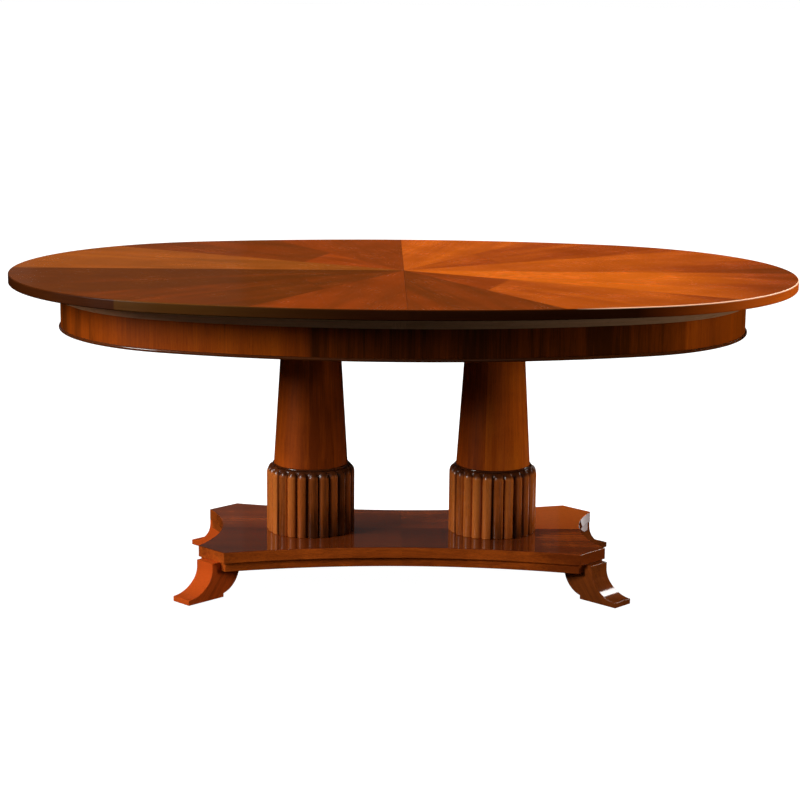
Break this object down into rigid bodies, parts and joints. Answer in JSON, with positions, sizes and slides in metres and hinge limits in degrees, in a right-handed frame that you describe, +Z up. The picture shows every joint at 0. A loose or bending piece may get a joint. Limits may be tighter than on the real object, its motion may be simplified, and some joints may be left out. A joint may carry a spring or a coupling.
{
  "type": "double pedestal extension dining table",
  "caption": "Oval extension dining table: sunburst veneered split top and apron sliding apart on geared rails, over tapered columns, reeded drums and a hollow-sided platform on sabre feet.",
  "frame": {"origin": "floor level at the middle of the table, under the crossing of seam and long axis", "axes": "+X along the length of the top to the right in the picture, +Y to the back, +Z up"},
  "size_m": [1.8996, 1.247, 0.762],
  "materials": {
    "top_veneer": "sunburst matched veneer under gloss lacquer",
    "apron_veneer": "upright grain veneer under gloss lacquer",
    "bead": "moulded strip, gloss lacquer",
    "column_veneer": "upright grain veneer under gloss lacquer",
    "reeded_drum": "turned and reeded, gloss lacquer",
    "collar": "dark stained ring, gloss lacquer",
    "platform_veneer": "quarter matched veneer under gloss lacquer",
    "foot": "solid, gloss lacquer",
    "rail_wood": "plain planed hardwood",
    "gear_nylon": "moulded",
    "steel": "zinc plated",
    "brass": "turned",
    "felt": "pressed felt"
  },
  "bodies": {
    "base": {"platform_upper_board": "platform_veneer", "platform_lower_board": "platform_veneer", "platform_screws": "steel", "front_left_foot": "foot", "front_right_foot": "foot", "back_left_foot": "foot", "back_right_foot": "foot", "foot_glides": "felt", "foot_dowels": "rail_wood", "left_drum": "reeded_drum", "right_drum": "reeded_drum", "left_collar": "collar", "right_collar": "collar", "left_column": "column_veneer", "right_column": "column_veneer", "left_column_foot_plug": "rail_wood", "left_column_head_plug": "rail_wood", "right_column_foot_plug": "rail_wood", "right_column_head_plug": "rail_wood", "left_tie_rod": "steel", "right_tie_rod": "steel", "tie_rod_nuts": "steel", "tie_rod_washers": "steel", "left_bearer": "rail_wood", "right_bearer": "rail_wood", "front_rail": "rail_wood", "back_rail": "rail_wood", "rail_screws": "steel", "pinion_bridge": "rail_wood", "bridge_screws": "steel", "pinion_axle": "brass", "pinion_spacer": "brass", "rack_keepers": "rail_wood"},
    "left_half": {"left_top_half": "top_veneer", "left_apron": "apron_veneer", "left_apron_splay": "bead", "left_apron_bead": "bead", "left_apron_lining": "rail_wood", "left_front_runner": "rail_wood", "left_back_runner": "rail_wood", "left_runner_screws": "steel", "left_rack": "gear_nylon", "left_rack_batten": "rail_wood", "left_rack_screws": "steel", "seam_dowels": "rail_wood"},
    "right_half": {"right_top_half": "top_veneer", "right_apron": "apron_veneer", "right_apron_splay": "bead", "right_apron_bead": "bead", "right_apron_lining": "rail_wood", "right_front_runner": "rail_wood", "right_back_runner": "rail_wood", "right_runner_screws": "steel", "right_rack": "gear_nylon", "right_rack_batten": "rail_wood", "right_rack_screws": "steel"},
    "pinion": {"equaliser_pinion": "gear_nylon"}
  },
  "joints": [
    {"name": "left_half_slide", "type": "slide", "parent": "base", "child": "left_half", "axis": [-1, 0, 0], "range_m": [0, 0.254]},
    {"name": "right_half_slide", "type": "slide", "parent": "base", "child": "right_half", "axis": [1, 0, 0], "range_m": [0, 0.254]},
    {"name": "pinion_turn", "type": "hinge", "parent": "base", "child": "pinion", "pos_m": [0, 0, 0.7085], "axis": [0, 0, 1], "range_deg": [0, 610]}
  ],
  "couplings": [
    {"joint": "right_half_slide", "follows": "left_half_slide", "ratio": 1},
    {"joint": "pinion_turn", "follows": "left_half_slide", "rad_per_m": 41.667}
  ]
}
